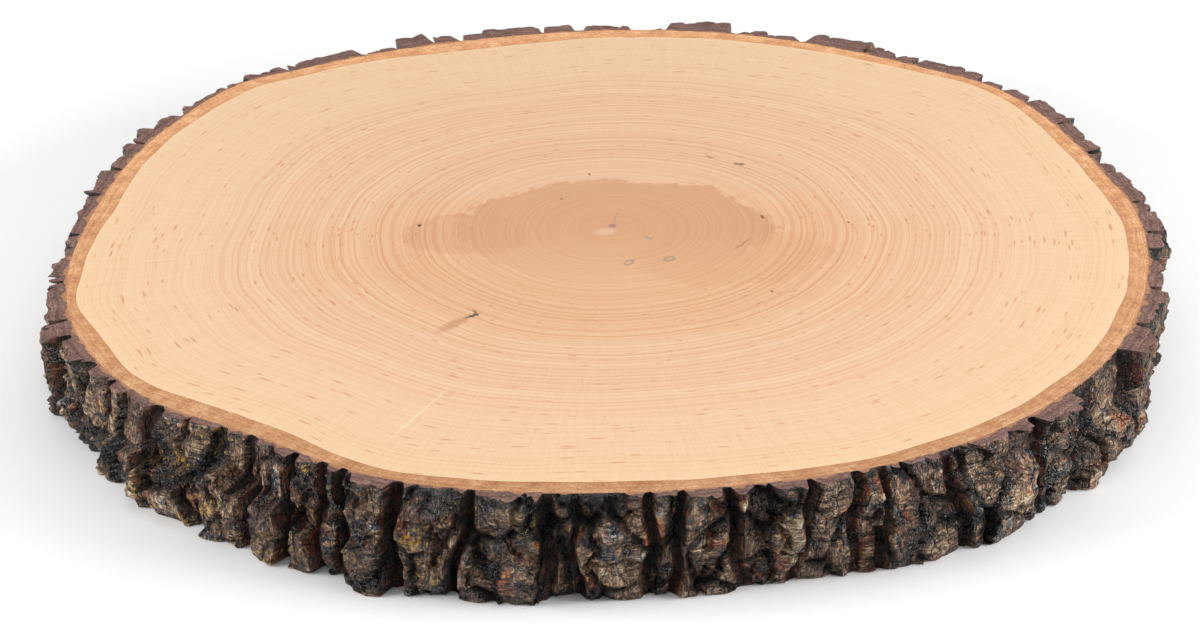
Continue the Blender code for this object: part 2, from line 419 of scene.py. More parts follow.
# Weathered outer bark: dry cork in hard plates, grey-brown with a dull shine, rusty where a plate
# has broken, tarry blue-black in patches, with a little gold lichen. The crests are painted lighter
# as a painted highlight, and the fissures and cracks are painted near black as painted shade. Its
# grain is drawn at 1 mm, about the finest that the eye makes out.
weathered_bark, tree, shader, place = new_material("weathered_outer_bark")
rise_here, crack_here, painted_relief_light, tone_here = (
    add_node(tree, "ShaderNodeAttribute", output="Fac", attribute_name=name)
    for name in ("rise", "crack", "relief", "tone")
)
STREAK_KINDS = (
    # stretch of the place, size, detail, roughness
    ((1.0, 1.0, 0.14), 0.9, 4.0, 0.72),  # upright cracks
    ((0.13, 0.13, 1.0), 0.8, 3.0, 0.65),  # layers seen edge on
    ((1.0, 1.0, 1.0), 0.9, 3.0, 0.7),  # grit
    ((1.0, 1.0, 1.0), 4.0, 6.0, 0.72),  # blotches
    ((1.0, 1.0, 0.6), 15.0, 3.0, 0.6),  # patches the size of a plate
)
noises = []
for stretch, size, detail, roughness in STREAK_KINDS:
    stretched = add_node(tree, "ShaderNodeVectorMath", {0: place, 1: stretch}, operation="MULTIPLY")
    noises.append(add_node(
        tree, "ShaderNodeTexNoise",
        {
            "Vector": stretched, "Scale": 1 / size, "Detail": detail, "Roughness": roughness,
            "Distortion": 0.3,
        },
    ))
upright, layered, grit, blotches, patches = noises
layered_share = add_node(tree, "ShaderNodeMapRange", {"Value": patches, "From Min": 0.47, "From Max": 0.53})
streaks = add_node(
    tree, "ShaderNodeMix", {"Factor": layered_share, "A": upright, "B": layered}, output="Result"
)

# Hairline cracks run between cells that are taller than they are wide, and fade out 0.2 to 0.4 mm
# from their own middles.
crack_place = add_node(tree, "ShaderNodeVectorMath", {0: place, 1: (1.0, 1.0, 0.6)}, operation="MULTIPLY")
strayed = add_node(
    tree, "ShaderNodeTexNoise", {"Vector": place, "Scale": 1 / 3.5, "Detail": 3.0}, output="Color"
)
strayed = add_node(
    tree, "ShaderNodeVectorMath", {0: strayed, 1: (4.0, 4.0, 4.0), 2: crack_place},
    operation="MULTIPLY_ADD",
)
hairlines = []
for cell_size, crack_share in ((2.3, 0.1), (6.5, 0.055)):
    hairline = add_node(
        tree, "ShaderNodeTexVoronoi", {"Vector": strayed, "Scale": 1 / cell_size},
        feature="DISTANCE_TO_EDGE", output="Distance",
    )
    hairlines.append(add_node(tree, "ShaderNodeMapRange", {"Value": hairline, "From Max": crack_share}))
crazing, fine_cracks = hairlines

# Four colours of bark, each from dark to pale with the mottle, and the patches of each. The mottle
# takes in the relief, so it paints a highlight on the crests and paints shade in the hollows.
mottle = blotches
for part, part_share in ((streaks, 2.0), (grit, 0.9), (painted_relief_light, 0.9)):
    mottle = add_node(tree, "ShaderNodeMath", {0: part, 1: part_share, 2: mottle}, operation="MULTIPLY_ADD")
mottle = add_node(tree, "ShaderNodeMapRange", {"Value": mottle, "From Min": 1.55, "From Max": 2.4})
cork = add_node(
    tree, "ShaderNodeValToRGB", {"Fac": mottle},
    stops=((0.0, "#1b1512"), (1.0, "#e2d0ba"), (0.3, "#543c2f"), (0.5, "#80604a"), (0.75, "#b09073")),
)
olive = add_node(
    tree, "ShaderNodeValToRGB", {"Fac": mottle},
    stops=((0.0, "#1a1611"), (1.0, "#cdb98f"), (0.35, "#574937"), (0.65, "#8d795a")),
)
rust = add_node(
    tree, "ShaderNodeValToRGB", {"Fac": mottle},
    stops=((0.0, "#23110b"), (1.0, "#d8a06e"), (0.4, "#742f1b"), (0.7, "#b4602f")),
)
tar = add_node(
    tree, "ShaderNodeValToRGB", {"Fac": mottle},
    stops=((0.0, "#0e0f12"), (1.0, "#a8afb6"), (0.45, "#2b2e34"), (0.75, "#565c64")),
)
olive_share = add_node(
    tree, "ShaderNodeMapRange", {"Value": patches, "From Min": 0.42, "From Max": 0.6, "To Max": 0.55}
)
low_down = add_node(
    tree, "ShaderNodeMapRange", {"Value": rise_here, "From Min": 0.98, "From Max": 0.6, "To Max": 0.16}
)
rust_patch = add_node(
    tree, "ShaderNodeTexNoise",
    {"Vector": place, "Scale": 1 / 9, "Detail": 5.0, "Roughness": 0.65, "Distortion": 0.6},
)
rust_patch = add_node(tree, "ShaderNodeMath", {0: rust_patch, 1: low_down}, operation="ADD")
rust_share = add_node(
    tree, "ShaderNodeMapRange", {"Value": rust_patch, "From Min": 0.565, "From Max": 0.63, "To Max": 0.85}
)
tar_place = add_node(tree, "ShaderNodeVectorMath", {0: place, 1: (31.0, 7.0, 3.0)}, operation="ADD")
tar_patch = add_node(
    tree, "ShaderNodeTexNoise",
    {"Vector": tar_place, "Scale": 1 / 9, "Detail": 5.0, "Roughness": 0.65, "Distortion": 0.6},
)
tar_share = add_node(
    tree, "ShaderNodeMapRange", {"Value": tar_patch, "From Min": 0.54, "From Max": 0.6, "To Max": 0.9}
)
# Gold lichen grows in crumbs, most of them on the front left of the trunk.
LICHEN_SIDE = math.radians(235)
crumb_place = add_node(tree, "ShaderNodeVectorMath", {0: place, 1: (1.0, 1.0, 0.45)}, operation="MULTIPLY")
crumbs = add_node(tree, "ShaderNodeTexNoise", {"Vector": crumb_place, "Scale": 1 / 0.9, "Detail": 2.0})
colony = add_node(tree, "ShaderNodeTexNoise", {"Vector": place, "Scale": 1 / 11, "Detail": 3.0})
outward_here = add_node(tree, "ShaderNodeVectorMath", {0: place}, operation="NORMALIZE")
side_here = add_node(
    tree, "ShaderNodeVectorMath", {0: outward_here, 1: (math.cos(LICHEN_SIDE), math.sin(LICHEN_SIDE), 0.0)},
    operation="DOT_PRODUCT", output="Value",
)
side_here = add_node(
    tree, "ShaderNodeMapRange", {"Value": side_here, "From Min": 0.3, "From Max": 1.0, "To Max": 0.11}
)
lichen = add_node(tree, "ShaderNodeMath", {0: colony, 1: crumbs}, operation="ADD")
lichen = add_node(tree, "ShaderNodeMath", {0: lichen, 1: side_here}, operation="ADD")
lichen_share = add_node(
    tree, "ShaderNodeMapRange", {"Value": lichen, "From Min": 1.31, "From Max": 1.37, "To Max": 0.9}
)
colour = cork
for share, layer in (
    (olive_share, olive), (rust_share, rust), (tar_share, tar), (lichen_share, linear("#c49a3a")),
):
    colour = add_node(tree, "ShaderNodeMix", {0: share, 6: colour, 7: layer}, output=2, data_type="RGBA")
# Painted shade: each block keeps its own tone, but the colour is then darkened low in the fissures and in
# the relief's cracks, where shade falls. The hairline cracks are drawn as dark lines.
shade = add_node(tree, "ShaderNodeMapRange", {"Value": tone_here, "To Min": 0.8, "To Max": 1.42})
for value, where_dark, where_light, darkest in (
    # painted shade low in the fissures
    (rise_here, 0.2, 0.75, 0.13),
    # painted shade in the relief's cracks
    (crack_here, 0.7, 0.05, 0.14),
    (crazing, 0.0, 1.0, 0.75),
    (fine_cracks, 0.0, 1.0, 0.15),
):
    darker = add_node(
        tree, "ShaderNodeMapRange",
        {"Value": value, "From Min": where_dark, "From Max": where_light, "To Min": darkest},
    )
    shade = add_node(tree, "ShaderNodeMath", {0: shade, 1: darker}, operation="MULTIPLY")
colour = add_node(tree, "ShaderNodeVectorMath", {0: colour, "Scale": shade}, operation="SCALE")
tree.links.new(colour, shader.inputs["Base Color"])
gloss = add_node(tree, "ShaderNodeMapRange", {"Value": tar_share, "To Min": 0.38, "To Max": 0.22})
tree.links.new(gloss, shader.inputs["Roughness"])
bumps = add_node(tree, "ShaderNodeMath", {0: streaks, 1: 2.6, 2: grit}, operation="MULTIPLY_ADD")
for part, part_share in ((crazing, 0.35), (fine_cracks, 1.2)):
    bumps = add_node(tree, "ShaderNodeMath", {0: part, 1: part_share, 2: bumps}, operation="MULTIPLY_ADD")
bumps = add_node(tree, "ShaderNodeBump", {"Height": bumps, "Distance": 0.0015, "Strength": 1.0})
tree.links.new(bumps, shader.inputs["Normal"])

# Outer bark sawn through: dense cork laid down in thin layers, mauve grey-brown where the saw has
# left it smooth, with darker gaps between the layers. They are drawn at twice their real spacing.
sawn_bark, tree, shader, place = new_material("sawn_outer_bark")
depth_here = add_node(tree, "ShaderNodeAttribute", output="Fac", attribute_name="over_bark")
cloudy = add_node(
    tree, "ShaderNodeTexNoise", {"Vector": place, "Scale": 1 / 6, "Detail": 4.0, "Roughness": 0.65}
)
grit = add_node(
    tree, "ShaderNodeTexNoise", {"Vector": place, "Scale": 1 / 1.0, "Detail": 4.0, "Roughness": 0.7}
)
layer_place = add_node(tree, "ShaderNodeMath", {0: depth_here, 1: 900.0}, operation="MULTIPLY")
layer_place = add_node(
    tree, "ShaderNodeMath", {0: cloudy, 1: 5.0, 2: layer_place}, operation="MULTIPLY_ADD"
)
layers = add_node(
    tree, "ShaderNodeTexNoise", {"W": layer_place, "Scale": 1.0, "Detail": 3.0, "Roughness": 0.7},
    noise_dimensions="1D",
)
mottle = add_node(tree, "ShaderNodeMath", {0: layers, 1: grit}, operation="ADD")
mottle = add_node(tree, "ShaderNodeMath", {0: cloudy, 1: 0.6, 2: mottle}, operation="MULTIPLY_ADD")
mottle = add_node(tree, "ShaderNodeMapRange", {"Value": mottle, "From Min": 0.85, "From Max": 1.75})
colour = add_node(
    tree, "ShaderNodeValToRGB", {"Fac": mottle},
    stops=((0.0, "#241815"), (1.0, "#bb9f95"), (0.3, "#553a33"), (0.55, "#7f5c52"), (0.8, "#a58277")),
)
ragged = add_node(tree, "ShaderNodeMath", {0: depth_here, 1: 1 / MM}, operation="MULTIPLY")
ragged = add_node(tree, "ShaderNodeMath", {0: cloudy, 1: 10.0, 2: ragged}, operation="MULTIPLY_ADD")
tan_share = add_node(
    tree, "ShaderNodeMapRange", {"Value": ragged, "From Min": 6.0, "From Max": 5.5, "To Max": 0.9}
)
colour = add_node(
    tree, "ShaderNodeMix", {0: tan_share, 6: colour, 7: linear("#b98360")}, output=2, data_type="RGBA"
)
tree.links.new(colour, shader.inputs["Base Color"])
shader.inputs["Roughness"].default_value = 0.75
bumps = add_node(tree, "ShaderNodeBump", {"Height": mottle, "Distance": 0.0006, "Strength": 0.8})
tree.links.new(bumps, shader.inputs["Normal"])

# Inner bark: a tan, grainy band of living bark in thin layers, with pale dots where fibres end,
# an orange-brown line at the cambium and darker, brownish patches.
inner_bark, tree, shader, place = new_material("sawn_inner_bark")
depth_here = add_node(tree, "ShaderNodeAttribute", output="Fac", attribute_name="from_cambium")
depth_here = add_node(tree, "ShaderNodeMath", {0: depth_here, 1: 1 / MM}, operation="MULTIPLY")
cloudy = add_node(
    tree, "ShaderNodeTexNoise", {"Vector": place, "Scale": 1 / 7, "Detail": 4.0, "Roughness": 0.65}
)
grit = add_node(
    tree, "ShaderNodeTexNoise", {"Vector": place, "Scale": 1 / 0.8, "Detail": 3.0, "Roughness": 0.7}
)
layer_place = add_node(tree, "ShaderNodeMath", {0: cloudy, 1: 3.0, 2: depth_here}, operation="MULTIPLY_ADD")
layers = add_node(
    tree, "ShaderNodeTexNoise", {"W": layer_place, "Scale": 1.1, "Detail": 3.0, "Roughness": 0.7},
    noise_dimensions="1D",
)
mottle = add_node(tree, "ShaderNodeMath", {0: layers, 1: grit}, operation="ADD")
mottle = add_node(tree, "ShaderNodeMath", {0: mottle, 1: cloudy}, operation="ADD")
mottle = add_node(tree, "ShaderNodeMapRange", {"Value": mottle, "From Min": 1.1, "From Max": 1.9})
colour = add_node(
    tree, "ShaderNodeValToRGB", {"Fac": mottle},
    stops=((0.0, "#a8653a"), (1.0, "#f4ca9c"), (0.35, "#c98c5c"), (0.65, "#dba273")),
)
dots = add_node(tree, "ShaderNodeTexVoronoi", {"Vector": place, "Scale": 1 / 1.5}, output="Distance")
dot_share = add_node(
    tree, "ShaderNodeMapRange", {"Value": dots, "From Min": 0.34, "From Max": 0.2, "To Max": 0.22}
)
colour = add_node(
    tree, "ShaderNodeMix", {0: dot_share, 6: colour, 7: linear("#f0d0ac")}, output=2, data_type="RGBA"
)
wavering = add_node(tree, "ShaderNodeMath", {0: cloudy, 1: 2.4, 2: depth_here}, operation="MULTIPLY_ADD")
line_share = add_node(
    tree, "ShaderNodeMapRange", {"Value": wavering, "From Min": 1.9, "From Max": 1.1, "To Max": 0.75}
)
colour = add_node(
    tree, "ShaderNodeMix", {0: line_share, 6: colour, 7: linear("#ba7a4a")}, output=2, data_type="RGBA"
)
# It is paler towards the back of the trunk.
front_back = add_node(tree, "ShaderNodeSeparateXYZ", {0: place}, output="Y")
paler = add_node(
    tree, "ShaderNodeMapRange",
    {"Value": front_back, "From Min": -190.0, "From Max": 190.0, "To Min": 0.88, "To Max": 1.28},
)
colour = add_node(tree, "ShaderNodeVectorMath", {0: colour, "Scale": paler}, operation="SCALE")
tree.links.new(colour, shader.inputs["Base Color"])
shader.inputs["Roughness"].default_value = 0.65
bumps = add_node(tree, "ShaderNodeBump", {"Height": mottle, "Distance": 0.0004, "Strength": 0.5})
tree.links.new(bumps, shader.inputs["Normal"])

# Sanded end grain of a pale broadleaved wood: cream sapwood in soft tan rings, short brown pith
# flecks lying along them, fine rays across them, and a brown heart with a ragged edge. The rings
# are counted off along the way from the pith to the cambium, and sway a little round the trunk.
end_grain, tree, shader, place = new_material("sanded_end_grain")
SAPWOOD_REACH = 184.0  # millimetres from the pith to the cambium, on average
RING_WIDTH = 2.9  # millimetres, a good year's growth
growth_here = add_node(tree, "ShaderNodeAttribute", output="Fac", attribute_name="growth")
pith_place = [c / MM for c in PITH]
bearing = add_node(tree, "ShaderNodeVectorMath", {0: place, 1: pith_place}, operation="SUBTRACT")
bearing = add_node(tree, "ShaderNodeVectorMath", {0: bearing, 1: (1.0, 1.0, 0.0)}, operation="MULTIPLY")
from_pith = add_node(tree, "ShaderNodeVectorMath", {0: bearing}, operation="LENGTH", output="Value")
bearing = add_node(tree, "ShaderNodeVectorMath", {0: bearing}, operation="NORMALIZE")
age = add_node(tree, "ShaderNodeMath", {0: growth_here, 1: SAPWOOD_REACH}, operation="MULTIPLY")
outline_share = add_node(
    tree, "ShaderNodeMapRange", {"Value": growth_here, "From Min": 0.35, "From Max": 1.0},
    interpolation_type="SMOOTHSTEP",
)
age = add_node(
    tree, "ShaderNodeMix", {"Factor": outline_share, "A": from_pith, "B": age}, output="Result"
)
for sway_size, sway_depth in ((50.0, 5.0), (13.0, 1.0)):
    sway = add_node(tree, "ShaderNodeTexNoise", {"Vector": place, "Scale": 1 / sway_size, "Detail": 1.0})
    age = add_node(tree, "ShaderNodeMath", {0: sway, 1: sway_depth, 2: age}, operation="MULTIPLY_ADD")
ring_place = add_node(tree, "ShaderNodeMath", {0: age, 1: 1 / RING_WIDTH}, operation="MULTIPLY")
bands, fine_bands, wide_bands = (
    add_node(
        tree, "ShaderNodeTexNoise", {"W": ring_place, "Scale": scale, "Detail": detail, "Roughness": 0.65},
        noise_dimensions="1D",
    )
    for scale, detail in ((1.5, 2.0), (4.5, 2.0), (0.16, 1.0))
)
ring_edge = add_node(
    tree, "ShaderNodeTexVoronoi", {"W": ring_place, "Scale": 1.25, "Randomness": 0.85},
    voronoi_dimensions="1D", feature="DISTANCE_TO_EDGE", output="Distance",
)
ring_cell = add_node(
    tree, "ShaderNodeTexVoronoi", {"W": ring_place, "Scale": 1.25, "Randomness": 0.85},
    voronoi_dimensions="1D", feature="F1", output="Color",
)
ring_chance = add_node(tree, "ShaderNodeSeparateColor", {"Color": ring_cell}, output="Red")
ring_chance = add_node(tree, "ShaderNodeMath", {0: ring_chance, 1: 2.0}, operation="POWER")
ring_line = add_node(
    tree, "ShaderNodeMapRange", {"Value": ring_edge, "From Min": 0.15, "From Max": 0.0},
    interpolation_type="SMOOTHSTEP",
)
ring_line = add_node(tree, "ShaderNodeMath", {0: ring_line, 1: ring_chance}, operation="MULTIPLY")
colour = add_node(
    tree, "ShaderNodeValToRGB", {"Fac": growth_here},
    stops=((0.3, "#eec7a4"), (1.0, "#f4d1a9"), (0.7, "#f2cda9")),
)

# The heart is a stain, not a ring: ragged and stepped where it stops at the back and the sides,
# fading towards the front, with a paler tan halo round it.
edge_place = add_node(tree, "ShaderNodeVectorMath", {0: bearing, "Scale": 9.0}, operation="SCALE")
edge_depth = add_node(tree, "ShaderNodeMath", {0: age, 1: 1 / 5}, operation="MULTIPLY")
edge_depth = add_node(tree, "ShaderNodeCombineXYZ", {"Z": edge_depth})
edge_place = add_node(tree, "ShaderNodeVectorMath", {0: edge_place, 1: edge_depth}, operation="ADD")
tooth = add_node(tree, "ShaderNodeTexVoronoi", {"Vector": edge_place, "Scale": 1.3}, output="Color")
tooth = add_node(tree, "ShaderNodeSeparateColor", {"Color": tooth}, output="Red")
fringe = add_node(
    tree, "ShaderNodeTexNoise", {"Vector": edge_place, "Scale": 4.0, "Detail": 3.0, "Roughness": 0.7}
)
stray = add_node(tree, "ShaderNodeTexNoise", {"Vector": place, "Scale": 1 / 28, "Detail": 2.0})
ragged = add_node(tree, "ShaderNodeMath", {0: tooth, 1: 0.10}, operation="MULTIPLY")
for part, part_depth in ((fringe, 0.14), (stray, 0.45)):
    ragged = add_node(tree, "ShaderNodeMath", {0: part, 1: part_depth, 2: ragged}, operation="MULTIPLY_ADD")
front_back = add_node(tree, "ShaderNodeSeparateXYZ", {0: place}, output="Y")
STAINS = (
    # middle x and y, half width and half depth, softness of its edge, the y where it starts and
    # is full, colour, strength
    ((0, -30), (130, 80), 0.6, (-200, -150), "#ebb482", 0.5),
    ((42, -34), (36, 26), 0.14, (-90, -40), "#dca678", 0.35),
    ((-50, -14), (24, 18), 0.12, (-60, -20), "#d9a27c", 0.45),
    ((3, -12), (57, 45), 0.07, (-72, 0), "#daa57e", 0.85),
)
for middle_place, half_size, softness, (fade_start, fade_end), code, strength in STAINS:
    away = add_node(tree, "ShaderNodeVectorMath", {0: place, 1: (*middle_place, 0.0)}, operation="SUBTRACT")
    away = add_node(
        tree, "ShaderNodeVectorMath", {0: away, 1: (1 / half_size[0], 1 / half_size[1], 0.0)},
        operation="MULTIPLY",
    )
    away = add_node(tree, "ShaderNodeVectorMath", {0: away}, operation="LENGTH", output="Value")
    away = add_node(tree, "ShaderNodeMath", {0: away, 1: ragged}, operation="ADD")
    share = add_node(
        tree, "ShaderNodeMapRange",
        {"Value": away, "From Min": 1.35, "From Max": 1.35 - softness, "To Max": strength},
        interpolation_type="SMOOTHSTEP",
    )
    fade = add_node(
        tree, "ShaderNodeMapRange", {"Value": front_back, "From Min": fade_start, "From Max": fade_end},
        interpolation_type="SMOOTHSTEP",
    )
    share = add_node(tree, "ShaderNodeMath", {0: share, 1: fade}, operation="MULTIPLY")
    colour = add_node(
        tree, "ShaderNodeMix", {0: share, 6: colour, 7: linear(code)}, output=2, data_type="RGBA"
    )

# Rings: soft tan bands, strongest half way out, and thin lines where a year's growth stopped.
# Rays cross them, and are drawn at five times their real width.
middle_years = add_node(
    tree, "ShaderNodeValToRGB", {"Fac": growth_here},
    stops=(
        (0.0, "#989898"), (1.0, "#8c8c8c"), (0.2, "#a4a4a4"), (0.34, "#f4f4f4"), (0.62, "#e8e8e8"),
        (0.82, "#a8a8a8"),
    ),
)
darkening = add_node(
    tree, "ShaderNodeMapRange", {"Value": bands, "From Min": 0.4, "From Max": 0.64, "To Max": 0.27}
)
for part, least, most, part_depth in ((fine_bands, 0.4, 0.65, 0.15), (ring_line, 0.0, 1.0, 0.6)):
    part = add_node(
        tree, "ShaderNodeMapRange",
        {"Value": part, "From Min": least, "From Max": most, "To Max": part_depth},
    )
    darkening = add_node(tree, "ShaderNodeMath", {0: darkening, 1: part}, operation="ADD")
darkening = add_node(tree, "ShaderNodeMath", {0: darkening, 1: middle_years}, operation="MULTIPLY")
wide_part = add_node(
    tree, "ShaderNodeMapRange", {"Value": wide_bands, "From Min": 0.4, "From Max": 0.65, "To Max": 0.06}
)
darkening = add_node(tree, "ShaderNodeMath", {0: darkening, 1: wide_part}, operation="ADD")
ray_depth = add_node(tree, "ShaderNodeMath", {0: age, 1: 1 / 14}, operation="MULTIPLY")
ray_depth = add_node(tree, "ShaderNodeCombineXYZ", {"Z": ray_depth})
ray_place = add_node(tree, "ShaderNodeVectorMath", {0: bearing, "Scale": 150.0}, operation="SCALE")
ray_place = add_node(tree, "ShaderNodeVectorMath", {0: ray_place, 1: ray_depth}, operation="ADD")
rays = add_node(
    tree, "ShaderNodeTexNoise", {"Vector": ray_place, "Scale": 1.0, "Detail": 2.0, "Roughness": 0.6}
)
rays = add_node(
    tree, "ShaderNodeMapRange",
    {"Value": rays, "From Min": 0.35, "From Max": 0.65, "To Min": -0.05, "To Max": 0.05},
)
ray_strength = add_node(
    tree, "ShaderNodeMapRange", {"Value": growth_here, "From Min": 0.25, "From Max": 0.9, "To Min": 0.3}
)
fibres = add_node(
    tree, "ShaderNodeTexNoise", {"Vector": place, "Scale": 1 / 0.8, "Detail": 3.0, "Roughness": 0.7}
)
fibres = add_node(
    tree, "ShaderNodeMapRange",
    {"Value": fibres, "From Min": 0.3, "From Max": 0.7, "To Min": -0.04, "To Max": 0.04},
)
darkening = add_node(
    tree, "ShaderNodeMath", {0: rays, 1: ray_strength, 2: darkening}, operation="MULTIPLY_ADD"
)
darkening = add_node(tree, "ShaderNodeMath", {0: darkening, 1: fibres}, operation="ADD")
tinted = add_node(
    tree, "ShaderNodeMix", {0: 1.0, 6: colour, 7: linear("#d99a50")}, output=2, data_type="RGBA",
    blend_type="MULTIPLY",
)
colour = add_node(
    tree, "ShaderNodeMix", {0: darkening, 6: colour, 7: tinted}, output=2, data_type="RGBA",
    clamp_factor=False,
)

# Pith flecks: brown dashes 3 to 6 mm long, each lying along its ring, outside the heart.
outside_heart = add_node(
    tree, "ShaderNodeMapRange", {"Value": growth_here, "From Min": 0.22, "From Max": 0.4}
)
FLECK_KINDS = (
    # places to a radian round the pith, shift of the pattern, rarity, colour, strength
    (21.0, 0.0, 0.96, "#c4602c", 0.5),
    (30.0, 40.0, 0.95, "#d47c3e", 0.46),
)
for fleck_spread, fleck_start, fleck_rarity, fleck_code, fleck_strength in FLECK_KINDS:
    fleck_depth = add_node(
        tree, "ShaderNodeMath", {0: age, 1: 0.85, 2: fleck_start}, operation="MULTIPLY_ADD"
    )
    fleck_depth = add_node(tree, "ShaderNodeCombineXYZ", {"Z": fleck_depth})
    fleck_place = add_node(
        tree, "ShaderNodeVectorMath", {0: bearing, "Scale": fleck_spread}, operation="SCALE"
    )
    fleck_place = add_node(tree, "ShaderNodeVectorMath", {0: fleck_place, 1: fleck_depth}, operation="ADD")
    fleck = add_node(tree, "ShaderNodeTexVoronoi", {"Vector": fleck_place, "Scale": 1.0}, output="Distance")
    chosen = add_node(tree, "ShaderNodeSeparateColor", {"Color": fleck.node.outputs["Color"]}, output="Red")
    chosen = add_node(tree, "ShaderNodeMath", {0: chosen, 1: fleck_rarity}, operation="GREATER_THAN")
    chosen = add_node(tree, "ShaderNodeMath", {0: chosen, 1: outside_heart}, operation="MULTIPLY")
    fleck = add_node(
        tree, "ShaderNodeMapRange",
        {"Value": fleck, "From Min": 0.45, "From Max": 0.2, "To Max": fleck_strength},
    )
    fleck = add_node(tree, "ShaderNodeMath", {0: chosen, 1: fleck}, operation="MULTIPLY")
    colour = add_node(
        tree, "ShaderNodeMix", {0: fleck, 6: colour, 7: linear(fleck_code)}, output=2, data_type="RGBA"
    )

# Marks that grew in: a dead knot with a split, two grey bark pockets, and small dark holes.
MARKS = (
    # middle x and y, half length, half width, turn in degrees, hollow, colour, strength
    (-50.5, -83.0, 10.0, 3.0, 48, False, "#c58560", 0.6),
    (-44.5, -77.0, 4.0, 0.9, 38, False, "#4b4038", 0.9),
    (-43.5, -75.5, 0.8, 3.2, 20, False, "#5b4d44", 0.8),
    (-58.0, -142.0, 20.0, 0.7, 62, False, "#fbe8ca", 0.5),
    (8.0, -38.5, 2.4, 1.5, 60, True, "#8f8c7a", 0.65),
    (22.0, -36.0, 2.2, 1.8, 30, True, "#8f8c7a", 0.65),
    (15.0, -19.0, 2.6, 0.9, -50, False, "#9c8a7c", 0.6),
    (50.8, 44.7, 2.8, 1.5, -25, False, "#857064", 0.9),
    (40.0, 51.7, 2.4, 1.1, -30, False, "#a08068", 0.8),
    (56.5, -2.5, 0.8, 2.2, 0, False, "#8a4a1c", 0.9),
    (-66.7, -6.0, 0.8, 1.3, 0, False, "#5b3420", 0.95),
    (86.7, -8.3, 0.7, 0.9, 0, False, "#7b4a28", 0.9),
    (-5.8, 37.0, 0.5, 1.2, 0, False, "#a0622c", 0.8),
    (-15.7, 15.3, 0.6, 0.9, 0, False, "#6b5040", 0.8),
    (56.0, -62.0, 0.6, 0.9, 0, False, "#6b4830", 0.8),
    (48.0, -25.0, 7.0, 0.7, 58, False, "#b0714a", 0.6),
    (2.5, -8.5, 1.9, 2.4, 0, False, "#957070", 0.7),
    (3.8, -1.5, 0.5, 7.0, -8, False, "#b08a84", 0.5),
    (0.0, -13.5, 5.0, 3.6, 20, False, "#eac8a6", 0.55),
)
roughened = add_node(
    tree, "ShaderNodeTexNoise", {"Vector": place, "Scale": 1 / 1.6, "Detail": 2.0}, output="Color"
)
roughened = add_node(tree, "ShaderNodeVectorMath", {0: roughened, 1: (0.5, 0.5, 0.5)}, operation="SUBTRACT")
roughened = add_node(
    tree, "ShaderNodeVectorMath", {0: roughened, 1: (2.2, 2.2, 0.0), 2: place}, operation="MULTIPLY_ADD"
)
for x, y, half_length, half_width, turn, hollow, code, strength in MARKS:
    away = add_node(
        tree, "ShaderNodeVectorRotate",
        {"Vector": roughened, "Center": (x, y, 0.0), "Angle": -math.radians(turn)}, rotation_type="Z_AXIS",
    )
    away = add_node(tree, "ShaderNodeVectorMath", {0: away, 1: (x, y, 0.0)}, operation="SUBTRACT")
    away = add_node(
        tree, "ShaderNodeVectorMath", {0: away, 1: (1 / half_length, 1 / half_width, 0.0)},
        operation="MULTIPLY",
    )
    away = add_node(tree, "ShaderNodeVectorMath", {0: away}, operation="LENGTH", output="Value")
    if hollow:
        away = add_node(tree, "ShaderNodeMath", {0: away, 1: 0.8}, operation="SUBTRACT")
        away = add_node(tree, "ShaderNodeMath", {0: away}, operation="ABSOLUTE")
        away = add_node(tree, "ShaderNodeMath", {0: away, 1: 2.6}, operation="MULTIPLY")
    share = add_node(
        tree, "ShaderNodeMapRange",
        {"Value": away, "From Min": 1.0, "From Max": 0.45, "To Max": strength},
    )
    colour = add_node(
        tree, "ShaderNodeMix", {0: share, 6: colour, 7: linear(code)}, output=2, data_type="RGBA"
    )
tree.links.new(colour, shader.inputs["Base Color"])
shader.inputs["Roughness"].default_value = 0.5
bumps = add_node(tree, "ShaderNodeBump", {"Height": darkening, "Distance": 0.0001, "Strength": 0.3})
tree.links.new(bumps, shader.inputs["Normal"])

# ---- The bark's relief ------------------------------------------------------------------------
# Cork splits and flakes at every size. The tree below leans and steps the plates' faces like
# broken slate, cuts fine cracks, wears the plates back next to the saw cuts, and leaves the two
# sawn faces flat.

relief = bpy.data.node_groups.new("bark_relief", "GeometryNodeTree")
relief.interface.new_socket("Slice", in_out="INPUT", socket_type="NodeSocketGeometry")
relief.interface.new_socket("Slice", in_out="OUTPUT", socket_type="NodeSocketGeometry")
RELIEF_SIZES = {
    "Lump height": 0.15 * MM,  # long, low swells
    "Chip depth": 0.7 * MM,  # broken faces that lean and step
    "Layer step": 0.8 * MM,  # thickness of one sheet of cork
    "Crack depth": 2.0 * MM,
    "Grain depth": 0.24 * MM,
    "Side shift": 0.3 * MM,
    "Edge wear": 3.4 * MM,  # most that has crumbled away at the upper cut
}
relief_socket = {
    name: relief.interface.new_socket(name, in_out="INPUT", socket_type="NodeSocketFloat").identifier
    for name in (*RELIEF_SIZES, "Seed")
}
given = relief.nodes.new("NodeGroupInput").outputs
plain_place, rise_here, over_before, on_wall, tissue_here = (
    add_node(relief, "GeometryNodeInputNamedAttribute", {"Name": name}, data_type=kind, output="Attribute")
    for name, kind in (
        ("rim_place", "FLOAT_VECTOR"), ("rise", "FLOAT"), ("over_bark", "FLOAT"), ("on_wall", "FLOAT"),
        ("tissue", "INT"),
    )
)
place = add_node(relief, "ShaderNodeVectorMath", {0: plain_place, "Scale": 1 / MM}, operation="SCALE")
seeded = add_node(relief, "ShaderNodeCombineXYZ", {"X": given["Seed"], "Y": given["Seed"]})
place = add_node(relief, "ShaderNodeVectorMath", {0: place, 1: seeded}, operation="ADD")
